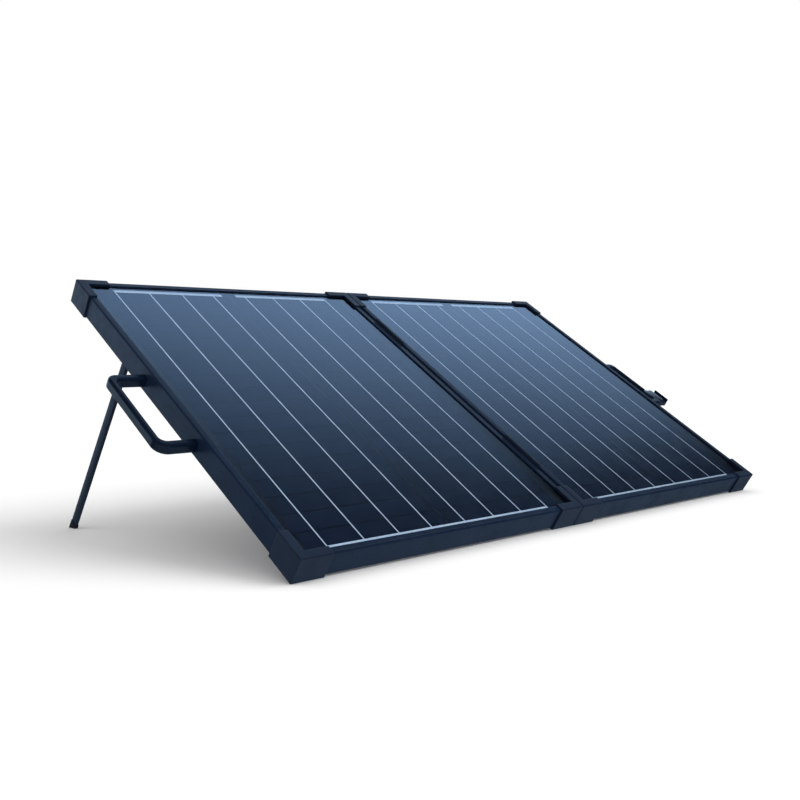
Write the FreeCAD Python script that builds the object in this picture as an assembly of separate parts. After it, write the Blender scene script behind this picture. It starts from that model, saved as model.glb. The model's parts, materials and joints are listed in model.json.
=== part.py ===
import FreeCAD, Part
import math
import os

from FreeCAD import Placement, Rotation, Vector

# A folding solar panel: two framed halves on hinges, stood at a tilt on two folding legs. Millimetres.
#
# It is drawn in panel axes: x across, from the seam between the halves; y up the slope, from the low edge;
# z out of the glass, from the top plane of the corner caps. Each half is drawn on the +x side and the left
# one is mirrored. The last step tilts the whole and moves it onto the ground.

# Case and stance
HALF_WIDTH = 355.0
SLOPE_LENGTH = 428.0
THICKNESS = 25.5
TILT = 33.6
SEAM_CLEARANCE = 0.2

# Corner caps
CAP_SIDE = 1.8
CAP_TOP = 1.5
CAP_BOTTOM = 2.0
CAP_ARM = 33.0
CAP_FLANGE = 9.0
CAP_EDGE = 1.2

# Frame rail section
RAIL_WALL = 1.5
LIP_WIDTH = 6.75
LIP_THICKNESS = 1.5
FLANGE_WIDTH = 8.0
RAIL_EDGE = 1.6
GROOVE_START = 2.5
GROOVE_WIDTH = 0.6
GROOVE_DEPTH = 0.5
SHELF_THICKNESS = 1.2

# Laminate
SEAL_WIDTH = 0.8
GLASS_THICKNESS = 3.2
ENCAPSULANT_THICKNESS = 0.4
RIBBON_THICKNESS = 0.15
CELL_THICKNESS = 0.2
BACKSHEET_THICKNESS = 0.45

# Cells and ribbons
CELL_WIDTH = 156.75
COLUMN_GAP = 3.0
CELL_ROWS = 18
ROW_PITCH = 22.4
ROW_GAP = 0.25
LINES_PER_CELL = 4
LINE_WIDTH = 1.1
CROSS_WIDTH = 5.0
CROSS_LAP = 3.2
STUB_LENGTH = 12.0

# Corner keys and screws
KEY_LENGTH = 28.0
KEY_WIDTH = 6.0
KEY_HEIGHT = 10.0
SCREW_RADIUS = 1.45
SCREW_HEAD_RADIUS = 2.7
SCREW_HEAD = 1.2
CAP_SCREW_LENGTH = 10.0
CAP_SCREW_ALONG = 22.0

# Junction box and gland
BOX_LENGTH = 64.0
BOX_DEPTH = 44.0
BOX_HEIGHT = 13.0
BOX_WALL = 2.0
LID_THICKNESS = 2.0
BOX_Y = 352.0
GLAND_RADIUS = 6.0
GLAND_LENGTH = 14.0
GLAND_SHANK_RADIUS = 4.5
CABLE_RADIUS = 3.0

# Handles
HANDLE_REACH = 390.5
HANDLE_TOP = -10.0
HANDLE_HEIGHT = 10.5
GRIP_WIDTH = 6.5
ARM_WIDTH = 8.5
HANDLE_REAR = 270.0
HANDLE_FRONT = {"left": 161.0, "right": 172.0}
FRONT_BEND = {"left": 13.0, "right": 8.0}
REAR_BEND = 9.0
INNER_BEND = 6.0
HANDLE_EDGE = 2.5
HANDLE_SCREW_LENGTH = 12.0

# Handle clip, on a round neck in the right grip
NECK_RADIUS = 2.6
NECK_START = 186.0
NECK_LENGTH = 18.0
CLIP_LENGTH = 24.0
CLIP_REACH = 38.0
CLIP_BACK = 3.6
CLIP_TOP = 0.5
CLIP_BELOW = 10.0
JAW_CLEARANCE = 0.2
RUNNING = 0.05
SIDE_PLAY = 0.3

# Hinges
HINGE_LIFT = 0.2
LEAF_THICKNESS = 1.2
LEAF_LENGTH = 54.0
LEAF_BOTTOM = -20.0
KNUCKLE_RADIUS = 1.75
KNUCKLE_SWEEP = 2.0
PIN_RADIUS = 0.85
HINGE_Y = (94.0, SLOPE_LENGTH - 94.0)
RIVET_RADIUS = 1.3
RIVET_HEAD_RADIUS = 2.3
RIVET_HEAD = 0.8

# Legs
LEG_X = 342.3
LEG_THICKNESS = 3.0
LEG_WIDTH = 9.4
LEG_LEAN = 2.4
PIVOT_Y = 318.0
PIVOT_Z = -14.0
PIVOT_RADIUS = 1.5
PIVOT_HEAD_RADIUS = 2.5
CHEEK = 1.2
BRACKET_TOP = -10.5
BRACKET_FRONT = 5.0
STOP_GAP = 0.05
FOOT_WALL = 0.5
FOOT_LENGTH = 8.0
FOOT_CORE = 2.5

# Places worked out from those
tilt = math.radians(TILT)
rail_inner_x = SEAM_CLEARANCE + CAP_SIDE
rail_outer_x = HALF_WIDTH - CAP_SIDE
rail_front_y = CAP_SIDE
rail_rear_y = SLOPE_LENGTH - CAP_SIDE
rail_top = -CAP_TOP
rail_bottom = CAP_BOTTOM - THICKNESS
flange_top = rail_bottom + RAIL_WALL
glass_top = rail_top - LIP_THICKNESS
glass_bottom = glass_top - GLASS_THICKNESS
ribbon_top = glass_bottom - ENCAPSULANT_THICKNESS
cell_top = ribbon_top - RIBBON_THICKNESS
backsheet_top = cell_top - CELL_THICKNESS
laminate_bottom = backsheet_top - BACKSHEET_THICKNESS
half_centre_x = (SEAM_CLEARANCE + HALF_WIDTH) / 2
grip_x = HANDLE_REACH - GRIP_WIDTH / 2
grip_z = HANDLE_TOP - HANDLE_HEIGHT / 2
# Height of the panel origin over the ground, on the rounded low edge of the caps
ground_lift = THICKNESS * math.cos(tilt) - CAP_EDGE * (math.sin(tilt) + math.cos(tilt) - 1)
# The leg's angle from upright, and its pivot's height over the ground
leg_angle = math.radians(TILT + LEG_LEAN)
pivot_height = PIVOT_Y * math.sin(tilt) + PIVOT_Z * math.cos(tilt) + ground_lift
foot_half = LEG_WIDTH / 2 + FOOT_WALL

parts = {}


def box(x0, x1, y0, y1, z0, z1):
    return Part.makeBox(x1 - x0, y1 - y0, z1 - z0, Vector(x0, y0, z0))


def rod(radius, start, end):
    along = Vector(*end) - Vector(*start)
    return Part.makeCylinder(radius, along.Length, Vector(*start), along)


def prism(points, z0, z1):
    corners = [Vector(x, y, z0) for x, y in points]
    face = Part.Face(Part.makePolygon(corners + corners[:1]))
    return face.extrude(Vector(0, 0, z1 - z0))


def fuse(shapes):
    return shapes[0].multiFuse(shapes[1:]).removeSplitter()


def rail(length):
    """A mitred rail along +y with its outer face at x = 0 and the frame's inside towards +x."""
    shelf_bottom = laminate_bottom - SHELF_THICKNESS
    groove_end = GROOVE_START + GROOVE_WIDTH
    section = [
        (RAIL_EDGE, rail_top),
        (GROOVE_START, rail_top),
        (GROOVE_START, rail_top - GROOVE_DEPTH),
        (groove_end, rail_top - GROOVE_DEPTH),
        (groove_end, rail_top),
        (LIP_WIDTH, rail_top),
        (LIP_WIDTH, glass_top),
        (RAIL_WALL, glass_top),
        (RAIL_WALL, laminate_bottom),
        (LIP_WIDTH, laminate_bottom),
        (LIP_WIDTH, shelf_bottom),
        (RAIL_WALL, shelf_bottom),
        (RAIL_WALL, flange_top),
        (FLANGE_WIDTH, flange_top),
        (FLANGE_WIDTH, rail_bottom),
        (0, rail_bottom),
        (0, rail_top - RAIL_EDGE),
    ]
    corners = [Vector(x, 0, z) for x, z in section]
    bend = RAIL_EDGE * (1 - math.sqrt(0.5))
    rounding = Part.Arc(corners[-1], Vector(bend, 0, rail_top - bend), corners[0]).toShape()
    outline = Part.Wire(Part.makePolygon(corners).Edges + [rounding])
    bar = Part.Face(outline).extrude(Vector(0, length, 0))
    mitre = [(0, 0), (0, length), (FLANGE_WIDTH, length - FLANGE_WIDTH), (FLANGE_WIDTH, FLANGE_WIDTH)]
    return bar.common(prism(mitre, rail_bottom, rail_top))


def rails():
    width = rail_outer_x - rail_inner_x
    length = rail_rear_y - rail_front_y
    places = {
        "inner_rail": (length, rail_inner_x, rail_front_y, 0),
        "front_rail": (width, rail_outer_x, rail_front_y, 90),
        "outer_rail": (length, rail_outer_x, rail_rear_y, 180),
        "rear_rail": (width, rail_inner_x, rail_rear_y, 270),
    }
    made = {}
    for name, (span, x, y, turn) in places.items():
        shape = rail(span)
        shape.Placement = Placement(Vector(x, y, 0), Rotation(Vector(0, 0, 1), turn))
        made[name] = shape
    return made


def corners():
    """Name, corner x and y, and the directions from the corner into the frame."""
    return [
        ("front_inner", SEAM_CLEARANCE, 0, 1, 1),
        ("front_outer", HALF_WIDTH, 0, -1, 1),
        ("rear_inner", SEAM_CLEARANCE, SLOPE_LENGTH, 1, -1),
        ("rear_outer", HALF_WIDTH, SLOPE_LENGTH, -1, -1),
    ]


def ell(x, y, in_x, in_y, length, width, z0, z1):
    """An L-shaped block in a corner, its two arms running from the corner into the frame."""
    flat = [(0, 0), (length, 0), (length, width), (width, width), (width, length), (0, length)]
    return prism([(x + in_x * u, y + in_y * v) for u, v in flat], z0, z1)


def caps():
    """Sleeves over the frame's corners, cut from one rounded block the size of the half."""
    block = box(SEAM_CLEARANCE, HALF_WIDTH, 0, SLOPE_LENGTH, -THICKNESS, 0)
    block = block.makeFillet(CAP_EDGE, block.Edges)
    inside = box(rail_inner_x, rail_outer_x, rail_front_y, rail_rear_y, rail_bottom, rail_top)
    sleeve = block.cut(inside)
    made = {}
    for name, x, y, in_x, in_y in corners():
        region = ell(x, y, in_x, in_y, CAP_ARM, CAP_FLANGE, -THICKNESS, 0)
        made["cap_" + name] = sleeve.common(region)
    return made


def corner_keys():
    inset = CAP_SIDE + RAIL_WALL
    keys = []
    for _, x, y, in_x, in_y in corners():
        start_x = x + in_x * inset
        start_y = y + in_y * inset
        key_top = flange_top + KEY_HEIGHT
        keys.append(ell(start_x, start_y, in_x, in_y, KEY_LENGTH, KEY_WIDTH, flange_top, key_top))
    return keys


def cap_screws():
    """Two pan-head screws under each corner, sunk in the cap."""
    near = CAP_SIDE + RAIL_WALL + KEY_WIDTH / 2
    head_bottom = -THICKNESS + 0.1
    head_top = head_bottom + SCREW_HEAD
    screws = []
    for _, x, y, in_x, in_y in corners():
        for u, v in ((near, CAP_SCREW_ALONG), (CAP_SCREW_ALONG, near)):
            at = (x + in_x * u, y + in_y * v)
            head = rod(SCREW_HEAD_RADIUS, (*at, head_bottom), (*at, head_top))
            shank = rod(SCREW_RADIUS, (*at, head_top), (*at, head_top + CAP_SCREW_LENGTH))
            screws.append(fuse([head, shank]))
    return screws


def sheet(inset, z0, z1):
    return box(rail_inner_x + inset, rail_outer_x - inset, rail_front_y + inset, rail_rear_y - inset, z0, z1)


def cell_columns():
    """The low-x edge of each column of cells."""
    return [half_centre_x - COLUMN_GAP / 2 - CELL_WIDTH, half_centre_x + COLUMN_GAP / 2]


def cells():
    first = (SLOPE_LENGTH - CELL_ROWS * ROW_PITCH) / 2
    made = []
    for x in cell_columns():
        for row in range(CELL_ROWS):
            y = first + row * ROW_PITCH + ROW_GAP / 2
            made.append(box(x, x + CELL_WIDTH, y, y + ROW_PITCH - ROW_GAP, backsheet_top, cell_top))
    return made


def ribbons():
    """Lines up the slope, a cross ribbon that laps the lowest cells, and one over each column at the high end."""
    low = (SLOPE_LENGTH - CELL_ROWS * ROW_PITCH) / 2
    high = SLOPE_LENGTH - low
    pitch = CELL_WIDTH / LINES_PER_CELL
    lines = [x + pitch * (n + 0.5) for x in cell_columns() for n in range(LINES_PER_CELL)]
    side = LINE_WIDTH / 2
    lap = low + CROSS_LAP
    made = [box(x - side, x + side, lap, high, cell_top, ribbon_top) for x in lines]
    made.append(box(lines[0] - side, lines[-1] + side, low - CROSS_WIDTH, lap, cell_top, ribbon_top))
    near = lines[LINES_PER_CELL - 1] + STUB_LENGTH
    far = lines[LINES_PER_CELL] - STUB_LENGTH
    made.append(box(lines[0] - side, near, high, high + CROSS_WIDTH, cell_top, ribbon_top))
    made.append(box(far, lines[-1] + side, high, high + CROSS_WIDTH, cell_top, ribbon_top))
    return made


def junction_box():
    x0 = half_centre_x - BOX_LENGTH / 2
    x1 = half_centre_x + BOX_LENGTH / 2
    y0 = BOX_Y - BOX_DEPTH / 2
    y1 = BOX_Y + BOX_DEPTH / 2
    bottom = laminate_bottom - BOX_HEIGHT
    shell = box(x0, x1, y0, y1, bottom, laminate_bottom)
    upright = [edge for edge in shell.Edges if abs(edge.tangentAt(edge.FirstParameter).z) > 0.9]
    shell = shell.makeFillet(2 * BOX_WALL, upright)
    roof = laminate_bottom - BOX_WALL
    hollow = box(x0 + BOX_WALL, x1 - BOX_WALL, y0 + BOX_WALL, y1 - BOX_WALL, bottom, roof)
    lid = box(x0, x1, y0, y1, bottom - LID_THICKNESS, bottom)
    rim = [edge for edge in lid.Edges if abs(edge.tangentAt(edge.FirstParameter).z) > 0.9]
    lid = lid.makeFillet(2 * BOX_WALL, rim)
    return shell.cut(hollow), lid


def cable_gland():
    """A gland on the box's low side, with a bore for one cable running down the slope."""
    z = laminate_bottom - BOX_HEIGHT / 2
    wall = BOX_Y - BOX_DEPTH / 2
    x = half_centre_x
    body = rod(GLAND_RADIUS, (x, wall - GLAND_LENGTH, z), (x, wall, z))
    shank = rod(GLAND_SHANK_RADIUS, (x, wall, z), (x, wall + BOX_WALL, z))
    bore = rod(CABLE_RADIUS, (x, wall - GLAND_LENGTH, z), (x, wall + BOX_WALL, z))
    return fuse([body, shank]).cut(bore), shank


def upright_edges(shape, x, y):
    """The edges along z nearest to the corner x, y."""
    found = []
    for edge in shape.Edges:
        middle = edge.CenterOfMass
        if abs(middle.x - x) < 0.01 and abs(middle.y - y) < 0.01:
            found.append(edge)
    return found


def handle(side):
    """A U-shaped handle in the plane of the panel, its arms butted against the outer rail."""
    front = HANDLE_FRONT[side]
    bottom = HANDLE_TOP - HANDLE_HEIGHT
    root = rail_outer_x
    outer = box(root, HANDLE_REACH, front, HANDLE_REAR, bottom, HANDLE_TOP)
    outer = outer.makeFillet(FRONT_BEND[side], upright_edges(outer, HANDLE_REACH, front))
    outer = outer.makeFillet(REAR_BEND, upright_edges(outer, HANDLE_REACH, HANDLE_REAR))
    inner_x = HANDLE_REACH - GRIP_WIDTH
    window = box(root - 1, inner_x, front + ARM_WIDTH, HANDLE_REAR - ARM_WIDTH, bottom, HANDLE_TOP)
    window = window.makeFillet(INNER_BEND, upright_edges(window, inner_x, front + ARM_WIDTH))
    window = window.makeFillet(INNER_BEND, upright_edges(window, inner_x, HANDLE_REAR - ARM_WIDTH))
    loop = outer.cut(window)
    rims = []
    for edge in loop.Edges:
        middle = edge.CenterOfMass
        flat = abs(middle.z - HANDLE_TOP) < 0.01 or abs(middle.z - bottom) < 0.01
        if flat and middle.x > root + 0.01:
            rims.append(edge)
    loop = loop.makeFillet(HANDLE_EDGE, rims)
    if side == "right":
        end = NECK_START + NECK_LENGTH
        loop = loop.cut(box(inner_x - 1, HANDLE_REACH + 1, NECK_START, end, bottom - 1, HANDLE_TOP + 1))
        neck = rod(NECK_RADIUS, (grip_x, NECK_START, grip_z), (grip_x, end, grip_z))
        loop = loop.fuse(neck)
    return loop


def handle_screws(side):
    """One screw into each arm, from inside the rail."""
    z = grip_z
    inside = rail_outer_x - RAIL_WALL
    screws = []
    for y in (HANDLE_FRONT[side] + ARM_WIDTH / 2, HANDLE_REAR - ARM_WIDTH / 2):
        head = rod(SCREW_HEAD_RADIUS, (inside - 2 * RIVET_HEAD, y, z), (inside, y, z))
        shank = rod(SCREW_RADIUS, (inside, y, z), (inside + HANDLE_SCREW_LENGTH, y, z))
        screws.append(fuse([head, shank]))
    return screws


def handle_clip():
    """A clip that turns on the grip's neck. Its shoulder rests against the grip, and its jaw opens upwards."""
    middle = NECK_START + NECK_LENGTH / 2
    narrow = NECK_LENGTH / 2 - SIDE_PLAY
    wide = CLIP_LENGTH / 2
    clear_x = GRIP_WIDTH / 2 + 0.1
    clear_z = HANDLE_HEIGHT / 2 + 0.3
    corner = math.hypot(GRIP_WIDTH / 2, HANDLE_HEIGHT / 2) + 2 * JAW_CLEARANCE

    def block(r0, r1, s0, s1, half):
        return box(grip_x + r0, grip_x + r1, middle - half, middle + half, grip_z + s0, grip_z + s1)

    body = fuse([
        block(-CLIP_BACK, corner, -CLIP_BELOW, CLIP_BACK, narrow),
        block(corner, CLIP_REACH, -CLIP_BELOW, CLIP_TOP, wide),
        block(clear_x, corner, -CLIP_BELOW, -clear_x, wide),
        block(-CLIP_BACK, clear_x, -CLIP_BELOW, -clear_z, wide),
    ])
    ends = [edge for edge in body.Edges if abs(edge.tangentAt(edge.FirstParameter).y) > 0.9]
    outer_ends = [edge for edge in ends if edge.CenterOfMass.x > grip_x + CLIP_REACH - 0.01]
    body = body.makeFillet(1.2, outer_ends)
    bar_distance = 2 * (HINGE_LIFT - grip_z)
    jaw_half = HANDLE_HEIGHT / 2 + JAW_CLEARANCE
    jaw_floor = -GRIP_WIDTH / 2 - JAW_CLEARANCE
    jaw = block(bar_distance - jaw_half, bar_distance + jaw_half, jaw_floor, CLIP_BACK + 1, wide + 1)
    bore = rod(NECK_RADIUS + RUNNING, (grip_x, middle - wide, grip_z), (grip_x, middle + wide, grip_z))
    snap = 0.8 * NECK_RADIUS
    mouth = block(-CLIP_BACK - 1, 0, -snap, snap, wide)
    return body.cut(jaw).cut(bore).cut(mouth)


def knuckles(leaf):
    """The y ranges of a leaf's knuckles, measured from the hinge's middle, and those of the other leaf."""
    third = LEAF_LENGTH / 3
    outside = [(-1.5 * third, -0.5 * third), (0.5 * third, 1.5 * third)]
    centre = [(-0.5 * third, 0.5 * third)]
    return (outside, centre) if leaf == "left" else (centre, outside)


def hinge_leaf(leaf, y):
    """A leaf on the inner rail's outer face, for the +x half, with its knuckles on the seam's axis."""
    inner = rail_inner_x - LEAF_THICKNESS
    half = LEAF_LENGTH / 2
    plate = box(inner, rail_inner_x, y - half, y + half, LEAF_BOTTOM, HINGE_LIFT)
    own, other = knuckles(leaf)
    for start, end in other:
        low = y + start - SIDE_PLAY / 2
        high = y + end + SIDE_PLAY / 2
        plate = plate.cut(rod(KNUCKLE_SWEEP, (0, low, HINGE_LIFT), (0, high, HINGE_LIFT)))
    round_ends = []
    for start, end in own:
        low = y + start + (SIDE_PLAY / 2 if start > -half else 0)
        high = y + end - (SIDE_PLAY / 2 if end < half else 0)
        round_ends.append(rod(KNUCKLE_RADIUS, (0, low, HINGE_LIFT), (0, high, HINGE_LIFT)))
    above = box(KNUCKLE_RADIUS, rail_inner_x, y - half, y + half, rail_top, HINGE_LIFT)
    plate = plate.cut(above)
    bore_radius = PIN_RADIUS + (RUNNING if leaf == "right" else 0)
    bore = rod(bore_radius, (0, y - half, HINGE_LIFT), (0, y + half, HINGE_LIFT))
    return fuse([plate] + round_ends).cut(bore)


def hinge_pin(y):
    half = LEAF_LENGTH / 2
    return rod(PIN_RADIUS, (0, y - half, HINGE_LIFT), (0, y + half, HINGE_LIFT))


def hinge_rivets(y):
    """Three rivets, flush with the leaf and headed inside the rail."""
    z = (LEAF_BOTTOM + laminate_bottom - SHELF_THICKNESS) / 2
    inner = rail_inner_x - LEAF_THICKNESS
    inside = rail_inner_x + RAIL_WALL
    made = []
    for step in (-1, 0, 1):
        at = (y + step * LEAF_LENGTH / 3, z)
        shank = rod(RIVET_RADIUS, (inner, *at), (inside, *at))
        head = rod(RIVET_HEAD_RADIUS, (inside, *at), (inside + RIVET_HEAD, *at))
        made.append(fuse([shank, head]))
    return made


def leg_bracket():
    """A U channel inside the frame. Its web is the leg's stop, and its base plate lies on the rail's flange."""
    inner = LEG_X - LEG_THICKNESS / 2 - SIDE_PLAY
    outer = LEG_X + LEG_THICKNESS / 2 + SIDE_PLAY
    front = PIVOT_Y - BRACKET_FRONT
    lean = math.radians(LEG_LEAN)
    stop = PIVOT_Y + LEG_WIDTH / 2 / math.cos(lean) + (PIVOT_Z - flange_top) * math.tan(lean) + STOP_GAP
    rear = stop + CHEEK
    base_top = flange_top + CHEEK
    plate_end = rail_outer_x - RAIL_WALL - 0.5
    web = box(inner - CHEEK, outer + CHEEK, stop, rear, flange_top, BRACKET_TOP)
    inner_cheek = box(inner - CHEEK, inner, front, rear, flange_top, BRACKET_TOP)
    outer_cheek = box(outer, outer + CHEEK, front, rear, flange_top, BRACKET_TOP)
    base = box(outer, plate_end, front - 8, rear + 8, flange_top, base_top)
    return fuse([web, inner_cheek, outer_cheek, base])


def bracket_rivets():
    x = (LEG_X + LEG_THICKNESS / 2 + SIDE_PLAY + CHEEK + rail_outer_x - RAIL_WALL - 0.5) / 2
    top = flange_top + CHEEK
    made = []
    for y in (PIVOT_Y - BRACKET_FRONT - 4, PIVOT_Y + LEG_WIDTH / 2 + CHEEK + 4):
        low = rod(RIVET_HEAD_RADIUS, (x, y, rail_bottom - RIVET_HEAD), (x, y, rail_bottom))
        shank = rod(RIVET_RADIUS, (x, y, rail_bottom), (x, y, top))
        high = rod(RIVET_HEAD_RADIUS - 0.3, (x, y, top), (x, y, top + RIVET_HEAD))
        made.append(fuse([low, shank, high]))
    return made


def leg_pivot():
    """A headed pin through both cheeks."""
    half = LEG_THICKNESS / 2 + SIDE_PLAY + CHEEK
    at = (PIVOT_Y, PIVOT_Z)
    shank = rod(PIVOT_RADIUS, (LEG_X - half, *at), (LEG_X + half, *at))
    inner = rod(PIVOT_HEAD_RADIUS, (LEG_X - half - RIVET_HEAD, *at), (LEG_X - half, *at))
    outer = rod(PIVOT_HEAD_RADIUS, (LEG_X + half, *at), (LEG_X + half + RIVET_HEAD, *at))
    return fuse([shank, inner, outer]), shank


def ground_reach(across):
    """How far along the leg the ground is from its pivot, at a distance to the leg's up-slope side."""
    return (pivot_height + across * math.sin(leg_angle)) / math.cos(leg_angle)


def leaned(shape):
    """Turns a shape drawn square to the panel about the leg's pivot, so that its foot goes up the slope."""
    turned = shape.copy()
    turned.rotate(Vector(LEG_X, PIVOT_Y, PIVOT_Z), Vector(1, 0, 0), LEG_LEAN)
    return turned


def leg():
    """A flat bar, round at the pivot, that ends inside the rubber foot. Drawn square to the panel."""
    side = LEG_THICKNESS / 2
    half = LEG_WIDTH / 2
    end = PIVOT_Z - ground_reach(-half) + FOOT_CORE
    bar = box(LEG_X - side, LEG_X + side, PIVOT_Y - half, PIVOT_Y + half, end, PIVOT_Z)
    eye = rod(half, (LEG_X - side, PIVOT_Y, PIVOT_Z), (LEG_X + side, PIVOT_Y, PIVOT_Z))
    bore = rod(PIVOT_RADIUS + RUNNING, (LEG_X - side, PIVOT_Y, PIVOT_Z), (LEG_X + side, PIVOT_Y, PIVOT_Z))
    return fuse([bar, eye]).cut(bore)


def leg_foot(bar):
    """A rubber cap on the leg's end, its sole cut level with the ground. Drawn square to the panel."""
    thick = LEG_THICKNESS / 2 + FOOT_WALL
    top = PIVOT_Z - ground_reach(0) + FOOT_LENGTH
    bottom = PIVOT_Z - ground_reach(foot_half) - 1
    block = box(LEG_X - thick, LEG_X + thick, PIVOT_Y - foot_half, PIVOT_Y + foot_half, bottom, top)
    upper = [edge for edge in block.Edges if edge.CenterOfMass.z > top - 0.01]
    block = block.makeFillet(FOOT_WALL / 2, upper)
    reach = foot_half + 1
    below = [(-reach, bottom - 9), (reach, bottom - 9)]
    below += [(reach, PIVOT_Z - ground_reach(reach)), (-reach, PIVOT_Z - ground_reach(-reach))]
    corner_points = [Vector(LEG_X - thick - 1, PIVOT_Y + v, z) for v, z in below]
    face = Part.Face(Part.makePolygon(corner_points + corner_points[:1]))
    under = face.extrude(Vector(2 * thick + 2, 0, 0))
    return block.cut(under).cut(bar)


def drill(shape, tools):
    for tool in tools:
        shape = shape.cut(tool)
    return shape


def half_parts(side):
    """Every piece that one half carries, by name, drawn on the +x side."""
    made = rails()
    made.update(caps())
    keys = corner_keys()
    screws = cap_screws()
    for name in made:
        made[name] = drill(made[name], screws)
    keys = [drill(key, screws) for key in keys]
    made["corner_keys"] = Part.makeCompound(keys)
    made["cap_screws"] = Part.makeCompound(screws)

    outside = sheet(RAIL_WALL, laminate_bottom, glass_top)
    inset = RAIL_WALL + SEAL_WIDTH
    made["edge_seal"] = outside.cut(sheet(inset, laminate_bottom, glass_top))
    made["glass"] = sheet(inset, glass_bottom, glass_top)
    made["encapsulant"] = sheet(inset, ribbon_top, glass_bottom)
    made["ribbons"] = Part.makeCompound(ribbons())
    made["cells"] = Part.makeCompound(cells())
    made["backsheet"] = sheet(inset, laminate_bottom, backsheet_top)

    shell, lid = junction_box()
    gland, gland_shank = cable_gland()
    made["junction_box"] = shell.cut(gland_shank)
    made["junction_lid"] = lid
    made["cable_gland"] = gland

    fixings = handle_screws(side)
    made["handle"] = drill(handle(side), fixings)
    made["handle_screws"] = Part.makeCompound(fixings)
    made["outer_rail"] = drill(made["outer_rail"], fixings)

    rivets = bracket_rivets()
    pivot, pivot_shank = leg_pivot()
    made["leg_bracket"] = drill(leg_bracket(), rivets + [pivot_shank])
    made["bracket_rivets"] = Part.makeCompound(rivets)
    made["outer_rail"] = drill(made["outer_rail"], rivets)
    made["leg_pivot"] = pivot
    bar = leg()
    made["leg"] = leaned(bar)
    made["leg_foot"] = leaned(leg_foot(bar))

    leaf_rivets = []
    for name, y in zip(("front", "rear"), HINGE_Y):
        studs = hinge_rivets(y)
        made["hinge_leaf_" + name] = drill(hinge_leaf(side, y), studs)
        leaf_rivets += studs
    made["hinge_rivets"] = Part.makeCompound(leaf_rivets)
    made["inner_rail"] = drill(made["inner_rail"], leaf_rivets)
    return made


for name, shape in half_parts("left").items():
    parts["left_" + name] = shape.mirror(Vector(0, 0, 0), Vector(1, 0, 0))
for name, shape in half_parts("right").items():
    parts["right_" + name] = shape
parts["hinge_pins"] = Part.makeCompound([hinge_pin(y) for y in HINGE_Y])
parts["handle_clip"] = handle_clip()

# Tilt the panel and set it on the ground, with the origin under the middle of its bounding box.
x_middle = (grip_x + CLIP_REACH - HANDLE_REACH) / 2
y_pivot = PIVOT_Y * math.cos(tilt) - PIVOT_Z * math.sin(tilt)
y_high = y_pivot + foot_half * math.cos(leg_angle) + ground_reach(foot_half) * math.sin(leg_angle)
y_low = CAP_EDGE * (math.cos(tilt) + math.sin(tilt) - 1)
stance = Placement(Vector(-x_middle, -(y_low + y_high) / 2, ground_lift), Rotation(Vector(1, 0, 0), TILT))

os.makedirs("parts", exist_ok=True)
for name, shape in parts.items():
    placed = shape.copy()
    placed.Placement = stance.multiply(placed.Placement)
    placed.exportStep("parts/" + name + ".step")
    if not placed.isValid() or placed.Volume <= 0:
        print("check", name, placed.isValid(), placed.Volume)
print(len(parts), "nodes")
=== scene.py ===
import json
import math
import random

import bmesh
import bpy
from mathutils import Matrix, Vector

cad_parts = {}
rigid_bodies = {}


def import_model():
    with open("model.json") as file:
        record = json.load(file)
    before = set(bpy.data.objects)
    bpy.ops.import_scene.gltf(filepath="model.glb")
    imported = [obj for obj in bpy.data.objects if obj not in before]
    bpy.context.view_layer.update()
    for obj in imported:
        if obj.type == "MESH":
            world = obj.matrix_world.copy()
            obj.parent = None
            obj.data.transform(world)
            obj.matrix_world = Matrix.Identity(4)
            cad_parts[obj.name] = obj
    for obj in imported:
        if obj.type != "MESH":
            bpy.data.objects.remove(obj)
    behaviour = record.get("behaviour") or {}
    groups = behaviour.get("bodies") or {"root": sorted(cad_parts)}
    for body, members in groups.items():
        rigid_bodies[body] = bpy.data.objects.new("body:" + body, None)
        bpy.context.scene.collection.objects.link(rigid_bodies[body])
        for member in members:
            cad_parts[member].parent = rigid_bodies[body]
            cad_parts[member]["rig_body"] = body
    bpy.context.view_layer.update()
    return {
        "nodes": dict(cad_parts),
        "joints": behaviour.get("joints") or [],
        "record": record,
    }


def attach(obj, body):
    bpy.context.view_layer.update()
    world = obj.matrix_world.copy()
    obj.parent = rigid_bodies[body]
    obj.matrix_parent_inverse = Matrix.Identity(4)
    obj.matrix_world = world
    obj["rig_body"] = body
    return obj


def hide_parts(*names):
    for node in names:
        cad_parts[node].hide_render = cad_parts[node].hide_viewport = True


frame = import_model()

# The looks of a folding solar panel that stands on its low edge and two legs. Metres, in the frame's axes.

scene = bpy.context.scene
nodes = frame["nodes"]
slots = {part["node"]: part["material_slot"] for part in frame["record"]["subparts"]}
SIDES = ("left", "right")

# Panel axes: across the halves, up the slope and out of the glass, from the low end of the seam.
fold = next(joint for joint in frame["joints"] if joint["name"] == "panel_fold")
up_slope = -Vector(fold["axis"])
across = Vector((1, 0, 0))
outward = across.cross(up_slope)
tilt = math.atan2(up_slope.z, up_slope.y)
fold_point = Vector(fold["pos_m"])
HINGE_MIDDLE = 0.214
HINGE_LIFT = 0.0002
panel_origin = fold_point - HINGE_MIDDLE * up_slope - HINGE_LIFT * outward
panel_turn = Matrix((across, up_slope, outward)).transposed()
ROW_PITCH = 0.0224
FIRST_ROW = 0.0124
first_row_y = panel_origin.dot(up_slope) + FIRST_ROW


def panel_point(x, y, z):
    return panel_origin + across * x + up_slope * y + outward * z


def panel_box(node):
    """A node's lowest and highest corner in panel axes."""
    turned = [panel_turn.transposed() @ (v.co - panel_origin) for v in nodes[node].data.vertices]
    low = Vector([min(p[k] for p in turned) for k in range(3)])
    high = Vector([max(p[k] for p in turned) for k in range(3)])
    return low, high


# ---------------------------------------------------------------- materials


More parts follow.
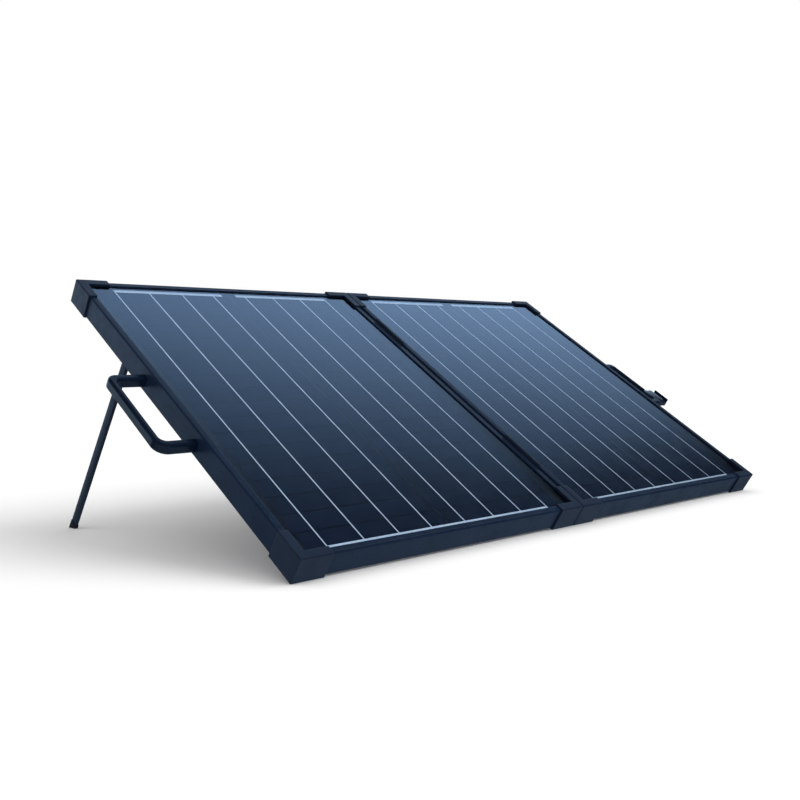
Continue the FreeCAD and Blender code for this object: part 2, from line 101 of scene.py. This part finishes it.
def add_node(tree, kind, inputs=None, **settings):
    """Adds a shader node to a tree. Its inputs are values, or sockets to link."""
    made = tree.nodes.new("ShaderNode" + kind)
    for key, value in settings.items():
        setattr(made, key, value)
    for key, value in (inputs or {}).items():
        if isinstance(value, bpy.types.NodeSocket):
            tree.links.new(value, made.inputs[key])
        else:
            made.inputs[key].default_value = value
    return made


class Graph:
    """A material's node tree, with short calls that add nodes and join them."""

    def __init__(self, name):
        self.material = bpy.data.materials.new(name)
        self.material.use_nodes = True
        self.tree = self.material.node_tree
        self.tree.nodes.clear()

    def node(self, kind, inputs=None, **settings):
        return add_node(self.tree, kind, inputs, **settings)

    def math(self, operation, a, b=0.0):
        return self.node("Math", {0: a, 1: b}, operation=operation).outputs[0]

    def span(self, value, low, high, start, end):
        """Maps a value from the range low to high onto start to end, and holds it there outside."""
        ends = {"Value": value, "From Min": low, "From Max": high, "To Min": start, "To Max": end}
        return self.node("MapRange", ends).outputs["Result"]

    def mix(self, factor, a, b):
        return self.node("Mix", {0: factor, 6: a, 7: b}, data_type="RGBA").outputs[2]

    def place(self, stretch=(1, 1, 1)):
        """Object coordinates turned into panel axes, then stretched."""
        at = self.node("TexCoord").outputs["Object"]
        turned = self.node("Mapping", {"Vector": at, "Rotation": (-tilt, 0, 0)}).outputs[0]
        return self.node("Mapping", {"Vector": turned, "Scale": stretch}).outputs[0]

    def noise(self, place, scale, detail=3.0):
        return self.node("TexNoise", {"Vector": place, "Scale": scale, "Detail": detail}).outputs[0]

    def edges(self, radius):
        """0 on flat places and 1 at edges, and the normal rounded over them."""
        rounded = self.node("Bevel", {"Radius": radius}, samples=4).outputs[0]
        true = self.node("NewGeometry").outputs["True Normal"]
        facing = self.node("VectorMath", {0: rounded, 1: true}, operation="DOT_PRODUCT").outputs["Value"]
        return self.span(facing, 0.985, 0.86, 0.0, 1.0), rounded

    def off_middle(self, up):
        """How far a height is from the middle of its row of cells, 0.5 at the rows' edges."""
        part = self.math("FRACT", self.math("DIVIDE", up, ROW_PITCH))
        return self.math("ABSOLUTE", self.math("SUBTRACT", part, 0.5))

    def finish(self, shader):
        self.node("OutputMaterial", {"Surface": shader})
        return self.material


def surface(name, dark, light, rough, metallic=0.0, cloud=25.0, grain=900.0, stretch=(1, 1, 1),
            bump=0.25, depth=0.00006, wear_and_highlight=None, round_edges=0.0006, shine=0.5):
    """A solid material with cloudy colour, fine grain in its relief and gloss, and edges painted lighter in
    patches, partly as wear and partly as a painted highlight.
    """
    g = Graph(name)
    place = g.place()
    clouds = g.span(g.noise(place, cloud, 4.0), 0.3, 0.7, 0.0, 1.0)
    streaks = g.noise(g.place(stretch), grain)
    smudges = g.noise(place, cloud * 3.1, 5.0)
    colour = g.mix(clouds, (*dark, 1), (*light, 1))
    speck = g.span(streaks, 0.55, 0.75, 0.0, 0.35)
    colour = g.mix(speck, colour, tuple(1.6 * c for c in light) + (1,))
    edge, rounded = g.edges(round_edges)
    # Painted highlight and wear: edges are mixed in patches towards a lighter colour, which stands partly for
    # wear and partly for light caught on rounded edges.
    wear_and_highlight_mask = g.math("MULTIPLY", edge, g.span(smudges, 0.35, 0.65, 0.25, 0.9))
    colour = g.mix(wear_and_highlight_mask, colour, (*(wear_and_highlight or [2.2 * c for c in light]), 1))
    gloss = g.math("ADD", g.span(smudges, 0.3, 0.7, rough - 0.07, rough + 0.07),
                   g.span(streaks, 0.3, 0.7, -0.04, 0.04))
    relief = g.node("Bump", {"Strength": bump, "Distance": depth, "Height": streaks, "Normal": rounded})
    settings = {"Base Color": colour, "Metallic": metallic, "Roughness": gloss, "Normal": relief.outputs[0],
                "Specular IOR Level": shine}
    return g.finish(g.node("BsdfPrincipled", settings).outputs[0])


def glass_material():
    """Clear glass: it mirrors at a slant on its outer faces, faintly tinted, with a little dust."""
    g = Graph("solar_glass")
    place = g.place()
    dust = g.noise(place, 60.0, 6.0)
    mirror = g.node("BsdfPrincipled", {
        "Base Color": g.mix(g.span(dust, 0.3, 0.7, 0.0, 1.0), (0.62, 0.77, 1.0, 1), (0.66, 0.80, 1.0, 1)),
        "Metallic": 1.0,
        "Roughness": g.span(dust, 0.35, 0.65, 0.07, 0.13),
        "Normal": g.node("Bump", {"Strength": 0.05, "Distance": 0.00005, "Height": dust}).outputs[0],
    })
    clear = g.node("BsdfTransparent", {"Color": (0.90, 0.94, 0.97, 1)})
    slant = g.node("Fresnel", {"IOR": 1.5}).outputs[0]
    front = g.math("SUBTRACT", 1.0, g.node("NewGeometry").outputs["Backfacing"])
    share = g.math("MULTIPLY", g.math("MULTIPLY", slant, 2.2), front)
    return g.finish(g.node("MixShader", {0: share, 1: clear.outputs[0], 2: mirror.outputs[0]}).outputs[0])


def film_material():
    """The clear layer under the glass, almost unseen."""
    g = Graph("clear_film")
    haze = g.span(g.noise(g.place(), 90.0, 4.0), 0.3, 0.7, 0.0, 0.006)
    clear = g.node("BsdfTransparent", {"Color": (0.98, 0.99, 1.0, 1)})
    milk = g.node("BsdfPrincipled", {
        "Base Color": (0.3, 0.35, 0.45, 1),
        "Roughness": g.span(haze, 0, 0.006, 0.4, 0.6),
    })
    return g.finish(g.node("MixShader", {0: haze, 1: clear.outputs[0], 2: milk.outputs[0]}).outputs[0])


def cell_material():
    """Dark silicon: each cell a slightly different blue, darker at its cut edges, with fine fingers."""
    g = Graph("silicon")
    place = g.place()
    up = g.math("SUBTRACT", g.node("SeparateXYZ", {0: place}).outputs["Y"], first_row_y)
    each = g.node("NewGeometry").outputs["Random Per Island"]
    clouds = g.noise(place, 14.0, 5.0)
    colour = g.mix(g.span(clouds, 0.3, 0.7, 0.0, 1.0), (0.004, 0.0085, 0.021, 1), (0.006, 0.012, 0.029, 1))
    colour = g.mix(g.math("MULTIPLY", each, 0.6), colour, (0.008, 0.015, 0.036, 1))
    finger = g.math("LESS_THAN", g.math("FRACT", g.math("DIVIDE", up, 0.00155)), 0.06)
    colour = g.mix(g.math("MULTIPLY", finger, 0.14), colour, (0.08, 0.11, 0.17, 1))
    row = g.off_middle(up)
    colour = g.mix(g.span(row, 0.468, 0.482, 0.0, 0.9), colour, (0.0008, 0.0012, 0.003, 1))
    gloss = g.span(g.noise(place, 40.0, 4.0), 0.3, 0.7, 0.40, 0.55)
    relief = g.node("Bump", {"Strength": 0.06, "Distance": 0.00001, "Height": g.noise(place, 2500.0)})
    return g.finish(g.node("BsdfPrincipled", {
        "Base Color": colour, "Roughness": gloss, "Normal": relief.outputs[0], "Specular IOR Level": 0.08,
    }).outputs[0])


def backsheet_material():
    """Black film, woven at a fine scale, with the rows of cells faintly pressed through it."""
    g = Graph("back_film")
    place = g.place()
    axes = g.node("SeparateXYZ", {0: place}).outputs
    weave = g.math("MULTIPLY", g.math("SINE", g.math("MULTIPLY", axes["X"], 5200.0)),
                   g.math("SINE", g.math("MULTIPLY", axes["Y"], 5200.0)))
    row = g.off_middle(g.math("SUBTRACT", axes["Y"], first_row_y))
    seam = g.span(row, 0.46, 0.5, 0.0, 1.0)
    clouds = g.span(g.noise(place, 12.0, 5.0), 0.3, 0.7, 0.0, 1.0)
    colour = g.mix(clouds, (0.007, 0.009, 0.014, 1), (0.013, 0.016, 0.024, 1))
    height = g.math("ADD", g.math("MULTIPLY", weave, 0.12), g.math("MULTIPLY", seam, -1.0))
    relief = g.node("Bump", {"Strength": 0.4, "Distance": 0.00005, "Height": height})
    return g.finish(g.node("BsdfPrincipled", {
        "Base Color": colour,
        "Roughness": g.span(g.noise(place, 70.0, 4.0), 0.3, 0.7, 0.42, 0.6),
        "Normal": relief.outputs[0],
        "Specular IOR Level": 0.4,
    }).outputs[0])


# The lighter edge colours given below paint wear and a painted highlight on the edges.
FRAME_DARK = (0.0040, 0.0115, 0.0300)
FRAME_LIGHT = (0.0065, 0.0165, 0.0420)
rail_looks = {
    "across": surface("anodised_across", FRAME_DARK, FRAME_LIGHT, 0.34, stretch=(0.02, 1, 1),
                      wear_and_highlight=(0.05, 0.07, 0.11), shine=0.22, round_edges=0.0005),
    "up": surface("anodised_up", FRAME_DARK, FRAME_LIGHT, 0.34, stretch=(1, 0.02, 1),
                  wear_and_highlight=(0.05, 0.07, 0.11), shine=0.22, round_edges=0.0005),
}
looks = {
    "cap_plastic": surface("cap_moulding", (0.0045, 0.0115, 0.029), (0.0070, 0.0160, 0.039), 0.42,
                           grain=1400.0, wear_and_highlight=(0.024, 0.035, 0.057), round_edges=0.0008, shine=0.35),
    "steel": surface("zinc_steel", (0.38, 0.39, 0.41), (0.50, 0.51, 0.53), 0.32, metallic=1.0, cloud=160.0,
                     wear_and_highlight=(0.7, 0.71, 0.73), round_edges=0.0002),
    "seal_rubber": surface("edge_rubber", (0.006, 0.007, 0.010), (0.010, 0.012, 0.016), 0.7, shine=0.3),
    "glass": glass_material(),
    "encapsulant": film_material(),
    "ribbon_metal": surface("tinned_ribbon", (0.70, 0.77, 0.88), (0.82, 0.88, 0.97), 0.5, cloud=120.0,
                            stretch=(1, 0.05, 1), bump=0.1, wear_and_highlight=(0.9, 0.93, 1.0), round_edges=0.0002),
    "cell_silicon": cell_material(),
    "backsheet": backsheet_material(),
    "box_plastic": surface("box_moulding", (0.011, 0.013, 0.018), (0.018, 0.020, 0.026), 0.48,
                           grain=1600.0, wear_and_highlight=(0.05, 0.055, 0.065)),
    "handle_plastic": surface("handle_moulding", (0.0022, 0.0060, 0.0160), (0.0038, 0.0095, 0.0240), 0.24,
                              grain=1100.0, bump=0.12, wear_and_highlight=(0.010, 0.018, 0.033), shine=0.3),
    "leg_metal": surface("leg_coating", (0.0020, 0.0060, 0.0190), (0.0035, 0.0090, 0.0270), 0.40,
                         grain=1300.0, bump=0.4, wear_and_highlight=(0.025, 0.035, 0.055), round_edges=0.0004, shine=0.3),
    "hinge_metal": surface("hinge_coating", (0.0045, 0.0100, 0.0240), (0.0070, 0.0145, 0.0330), 0.4,
                           cloud=80.0, wear_and_highlight=(0.05, 0.07, 0.11), round_edges=0.0003, shine=0.25),
    "foot_rubber": surface("foot_rubber", (0.006, 0.008, 0.012), (0.010, 0.012, 0.017), 0.75, grain=700.0,
                           bump=0.5, shine=0.3),
}


def look_of(node):
    if node.endswith(("front_rail", "rear_rail")):
        return rail_looks["across"]
    if node.endswith(("inner_rail", "outer_rail")):
        return rail_looks["up"]
    return looks[slots[node]]


for name, piece in nodes.items():
    piece.data.materials.clear()
    piece.data.materials.append(look_of(name))


# ---------------------------------------------------------------- pieces


def new_piece(name, bm, node):
    """Makes an object from a bmesh. It rides with the node's body and stands for the node."""
    bmesh.ops.recalc_face_normals(bm, faces=bm.faces)
    mesh = bpy.data.meshes.new(name)
    bm.to_mesh(mesh)
    bm.free()
    piece = bpy.data.objects.new(name, mesh)
    scene.collection.objects.link(piece)
    mesh.materials.append(look_of(node))
    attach(piece, nodes[node]["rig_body"])
    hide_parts(node)
    return piece


def settle(piece):
    """Applies a piece's modifiers and shades it smooth up to 35 degrees."""
    graph = bpy.context.evaluated_depsgraph_get()
    mesh = bpy.data.meshes.new_from_object(piece.evaluated_get(graph))
    piece.modifiers.clear()
    piece.data = mesh
    mesh.shade_smooth()
    mesh.set_sharp_from_angle(angle=math.radians(35))


def round_off(piece, width, segments=3):
    bevel = piece.modifiers.new("edges", "BEVEL")
    bevel.width = width
    bevel.segments = segments
    bevel.limit_method = "ANGLE"
    bevel.angle_limit = math.radians(30)
    settle(piece)


def welded(node):
    """The node's mesh as whole faces: its double corners joined and its flat triangles merged."""
    bm = bmesh.new()
    bm.from_mesh(nodes[node].data)
    bmesh.ops.remove_doubles(bm, verts=bm.verts, dist=0.000002)
    bmesh.ops.dissolve_limit(bm, angle_limit=math.radians(0.4), verts=bm.verts, edges=bm.edges)
    return bm


def islands(node):
    """The low and high corner, in panel axes, of each separate solid in a node."""
    bm = welded(node)
    left = set(bm.verts)
    found = []
    while left:
        front = [left.pop()]
        group = []
        while front:
            vert = front.pop()
            group.append(panel_turn.transposed() @ (vert.co - panel_origin))
            for edge in vert.link_edges:
                other = edge.other_vert(vert)
                if other in left:
                    left.remove(other)
                    front.append(other)
        low = Vector([min(p[k] for p in group) for k in range(3)])
        high = Vector([max(p[k] for p in group) for k in range(3)])
        found.append((low, high))
    bm.free()
    return found


def lathe(bm, profile, base, axis, count=40, ripple=0.0, ribs=0):
    """Turns (radius, distance along the axis) points round the axis. Ribs make the widest rings wavy."""
    side = axis.orthogonal().normalized()
    other = axis.cross(side)
    widest = max(radius for radius, _ in profile)
    rings = []
    for radius, along in profile:
        ring = []
        for n in range(count):
            angle = 2 * math.pi * n / count
            wave = ripple * math.cos(ribs * angle) if ribs and radius > 0.98 * widest else 0.0
            arm = (side * math.cos(angle) + other * math.sin(angle)) * (radius + wave)
            ring.append(bm.verts.new(base + axis * along + arm))
        rings.append(ring)
    for low, high in zip(rings, rings[1:]):
        for n in range(count):
            bm.faces.new((low[n], low[(n + 1) % count], high[(n + 1) % count], high[n]))
    return rings


def plus(bm, centre, axis, side, reach, half, depth):
    """A cross-shaped prism, the shape of a screwdriver's tip."""
    other = axis.cross(side)
    outline = [(half, half), (half, reach), (-half, reach), (-half, half), (-reach, half), (-reach, -half),
               (-half, -half), (-half, -reach), (half, -reach), (half, -half), (reach, -half), (reach, half)]
    top = [bm.verts.new(centre - axis * 0.0004 + side * u + other * v) for u, v in outline]
    foot = [bm.verts.new(centre + axis * depth + side * u * 0.55 + other * v * 0.55) for u, v in outline]
    bm.faces.new(top)
    bm.faces.new(foot)
    for n in range(len(outline)):
        after = (n + 1) % len(outline)
        bm.faces.new((top[n], top[after], foot[after], foot[n]))


def screws(node, axis_name, head_radius, head_height, shank_radius, seed):
    """Pan-head screws with cross recesses. The head is at the low end, or the inner end in a handle's arm."""
    rng = random.Random(seed)
    k = {"across": 0, "outward": 2}[axis_name]
    bm = bmesh.new()
    cutter = bmesh.new()
    for low, high in islands(node):
        middle = (low + high) / 2
        turned = node.startswith("left") and axis_name == "across"
        start = high[k] if turned else low[k]
        length = high[k] - low[k]
        at = [middle.x, middle.y, middle.z]
        at[k] = start
        base = panel_point(*at)
        axis = (across if axis_name == "across" else outward) * (-1 if turned else 1)
        r, h = head_radius, head_height
        profile = [(0.55 * r, 0.0), (0.80 * r, 0.06 * h), (0.94 * r, 0.22 * h), (r, 0.5 * h), (r, h),
                   (shank_radius, h), (shank_radius, length)]
        rings = lathe(bm, profile, base, axis)
        bm.faces.new(rings[0])
        bm.faces.new(rings[-1])
        turn = rng.uniform(0, math.pi)
        side = Matrix.Rotation(turn, 3, axis) @ axis.orthogonal().normalized()
        plus(cutter, base, axis, side, 0.60 * r, 0.13 * r, 0.65 * h)
    piece = new_piece(node + "_crossed", bm, node)
    bmesh.ops.recalc_face_normals(cutter, faces=cutter.faces)
    tool_mesh = bpy.data.meshes.new("screwdriver")
    cutter.to_mesh(tool_mesh)
    cutter.free()
    tool = bpy.data.objects.new("screwdriver", tool_mesh)
    scene.collection.objects.link(tool)
    cut = piece.modifiers.new("recess", "BOOLEAN")
    cut.operation = "DIFFERENCE"
    cut.object = tool
    cut.solver = "EXACT"
    settle(piece)
    bpy.data.objects.remove(tool)


def rivets(node, axis_name, radius, height, shank_radius, both_ends):
    """Rivets with domed heads, at one end or at both."""
    k = {"across": 0, "outward": 2}[axis_name]
    axis = across if axis_name == "across" else outward
    bm = bmesh.new()
    for low, high in islands(node):
        middle = (low + high) / 2
        at = [middle.x, middle.y, middle.z]
        at[k] = low[k]
        length = high[k] - low[k]
        steps = [a * math.pi / 10 for a in range(1, 6)]
        dome = [(radius * math.sin(a), height * (1 - math.cos(a))) for a in steps]
        shank = [(shank_radius, height), (shank_radius, length - height)]
        headed_high = both_ends or node.startswith("right")
        headed_low = both_ends or node.startswith("left")
        start = dome if headed_low else [(shank_radius, 0.0)]
        start = start + [shank[0]] if headed_low else start
        finish = [shank[1]] if headed_high else [(shank_radius, length)]
        if headed_high:
            finish += [(r, length - along) for r, along in reversed(dome)]
        rings = lathe(bm, start + finish, panel_point(*at), axis)
        bm.faces.new(rings[0])
        bm.faces.new(rings[-1])
    settle(new_piece(node + "_domed", bm, node))


def film(side):
    """The clear layer, a hair thinner than its solid so that it doesn't touch the glass or the ribbons."""
    node = side + "_encapsulant"
    low, high = panel_box(node)
    bm = bmesh.new()
    steps = 8
    layers = []
    for z in (low.z + 0.00004, high.z - 0.00004):
        grid = []
        for j in range(steps + 1):
            y = low.y + (high.y - low.y) * j / steps
            xs = [low.x + (high.x - low.x) * n / steps for n in range(steps + 1)]
            grid.append([bm.verts.new(panel_point(x, y, z)) for x in xs])
        layers.append(grid)
    for grid in layers:
        for a, b in zip(grid, grid[1:]):
            for n in range(steps):
                bm.faces.new((a[n], a[n + 1], b[n + 1], b[n]))
    new_piece(side + "_clear_film", bm, node)


def gland(side):
    """A cable gland: a base collar, a ribbed nut and a rounded mouth round the open bore."""
    node = side + "_cable_gland"
    low, high = panel_box(node)
    radius = (high.x - low.x) / 2
    length = high.y - low.y
    base = panel_point((low.x + high.x) / 2, low.y, (low.z + high.z) / 2)
    r = radius - 0.0002
    bore = 0.5 * radius
    outside = [(bore + 0.0004, 0.0), (0.62 * r, 0.0001), (0.74 * r, 0.0007), (0.82 * r, 0.0019),
               (r, 0.0026), (r, 0.0092), (0.90 * r, 0.0098), (0.90 * r, 0.0108), (0.97 * r, 0.0112),
               (0.97 * r, length - 0.0020), (0.74 * r, length - 0.0020), (0.74 * r, length)]
    inside = [(bore, length), (bore, 0.0005), (bore + 0.0004, 0.0)]
    bm = bmesh.new()
    lathe(bm, outside + inside, base, up_slope, count=144, ripple=0.00018, ribs=24)
    bmesh.ops.remove_doubles(bm, verts=bm.verts, dist=0.000001)
    settle(new_piece(side + "_ribbed_gland", bm, node))


def lid(side):
    """The junction box's lid, with a shallow panel inside its rim."""
    node = side + "_junction_lid"
    bm = welded(node)
    back = min(bm.faces, key=lambda f: (panel_turn.transposed() @ (f.calc_center_median() - panel_origin)).z)
    bmesh.ops.inset_individual(bm, faces=[back], thickness=0.0022)
    bmesh.ops.inset_individual(bm, faces=[back], thickness=0.0005, depth=-0.0005)
    round_off(new_piece(side + "_panelled_lid", bm, node), 0.00025, 2)


def refined(node, suffix, width, segments=3):
    """A copy of the node with its sharp edges rounded."""
    round_off(new_piece(node + suffix, welded(node), node), width, segments)


for side in SIDES:
    film(side)
    gland(side)
    lid(side)
    screws(side + "_cap_screws", "outward", 0.0027, 0.0012, 0.00145, seed=3)
    screws(side + "_handle_screws", "across", 0.0027, 0.0016, 0.00145, seed=5)
    rivets(side + "_bracket_rivets", "outward", 0.0023, 0.0008, 0.0013, True)
    rivets(side + "_hinge_rivets", "across", 0.0023, 0.0008, 0.0013, False)
    rivets(side + "_leg_pivot", "across", 0.0025, 0.0008, 0.0015, True)
    refined(side + "_leg", "_bar", 0.0004)
    refined(side + "_leg_foot", "_tip", 0.00025, 3)
    refined(side + "_leg_bracket", "_folded", 0.0003)
    refined(side + "_junction_box", "_moulded", 0.0004)
refined("handle_clip", "_moulded", 0.0006)


# ---------------------------------------------------------------- studio

floor_bm = bmesh.new()
bmesh.ops.create_grid(floor_bm, x_segments=24, y_segments=24, size=30.0)
floor_mesh = bpy.data.meshes.new("floor")
floor_bm.to_mesh(floor_mesh)
floor_bm.free()
floor = bpy.data.objects.new("floor", floor_mesh)
scene.collection.objects.link(floor)
floor_graph = Graph("paper_floor")
paper = floor_graph.noise(floor_graph.node("TexCoord").outputs["Object"], 3.0)
floor_mesh.materials.append(floor_graph.finish(floor_graph.node("BsdfPrincipled", {
    "Base Color": floor_graph.mix(paper, (0.90, 0.90, 0.90, 1), (0.92, 0.92, 0.92, 1)),
    "Roughness": 0.9,
    "Specular IOR Level": 0.0,
}).outputs[0]))
floor.visible_glossy = False

# Plain white to the camera and even light all round. Mirrored rays see a cool light that falls off towards
# the front of the studio and below the horizon, and a weaker one from the ground.
WHITE = (1, 1, 1, 1)
world = bpy.data.worlds.new("studio")
scene.world = world
world.use_nodes = True
sky = world.node_tree
sky.nodes.clear()


def sky_node(kind, inputs=None, **settings):
    return add_node(sky, kind, inputs, **settings)


def ramp(value, low, high, start, end):
    """A smooth change from start to end while the value goes from low to high."""
    ends = {"Value": value, "From Min": low, "From Max": high, "To Min": start, "To Max": end}
    return sky_node("MapRange", ends, interpolation_type="SMOOTHSTEP").outputs["Result"]


way = sky_node("SeparateXYZ", {0: sky_node("TexCoord").outputs["Generated"]}).outputs
aslant = sky_node("Math", {0: way["X"], 1: 0.4, 2: way["Y"]}, operation="MULTIPLY_ADD").outputs[0]
back = ramp(aslant, 0.38, 0.70, 0.01, 1.08)
behind = ramp(way["Y"], 0.06, 0.17, 0.0, 1.0)
above = ramp(way["Z"], -0.25, 0.05, 0.12, 1.0)
ground = ramp(way["Z"], -0.2, -0.6, 0.0, 0.42)
upper = sky_node("Math", {0: back, 1: behind}, operation="MULTIPLY").outputs[0]
cool = sky_node("Math", {0: upper, 1: above, 2: ground}, operation="MULTIPLY_ADD").outputs[0]
mirrored = sky_node("Background", {"Color": (0.54, 0.75, 1.0, 1), "Strength": cool}).outputs[0]
even = sky_node("Background", {"Color": WHITE, "Strength": 0.84}).outputs[0]
plain = sky_node("Background", {"Color": WHITE, "Strength": 1.0}).outputs[0]
path = sky_node("LightPath").outputs
lit = sky_node("MixShader", {0: path["Is Glossy Ray"], 1: even, 2: mirrored}).outputs[0]
seen = sky_node("MixShader", {0: path["Is Camera Ray"], 1: lit, 2: plain}).outputs[0]
sky_node("OutputWorld", {"Surface": seen})


def sun(name, toward, strength, spread):
    light = bpy.data.lights.new(name, "SUN")
    light.energy = strength
    light.angle = math.radians(spread)
    lamp = bpy.data.objects.new(name, light)
    lamp.rotation_euler = Vector(toward).to_track_quat("Z", "Y").to_euler()
    lamp.visible_glossy = False
    scene.collection.objects.link(lamp)


sun("key", (0.45, -0.55, 0.62), 1.6, 50)

# The camera's place is measured from the low end of the seam, so that it follows the panel's stance.
FROM_SEAM = Vector((-0.7999, -0.5785, 0.1423))
CAMERA_TURN = (88.064, 1.135, -43.606)
view = bpy.data.cameras.new("camera")
view.lens = 44.07
view.sensor_width = 36.0
view.clip_start = 0.01
camera = bpy.data.objects.new("camera", view)
camera.location = panel_origin + FROM_SEAM
camera.rotation_euler = [math.radians(angle) for angle in CAMERA_TURN]
scene.collection.objects.link(camera)
scene.camera = camera
scene.view_settings.view_transform = "Standard"
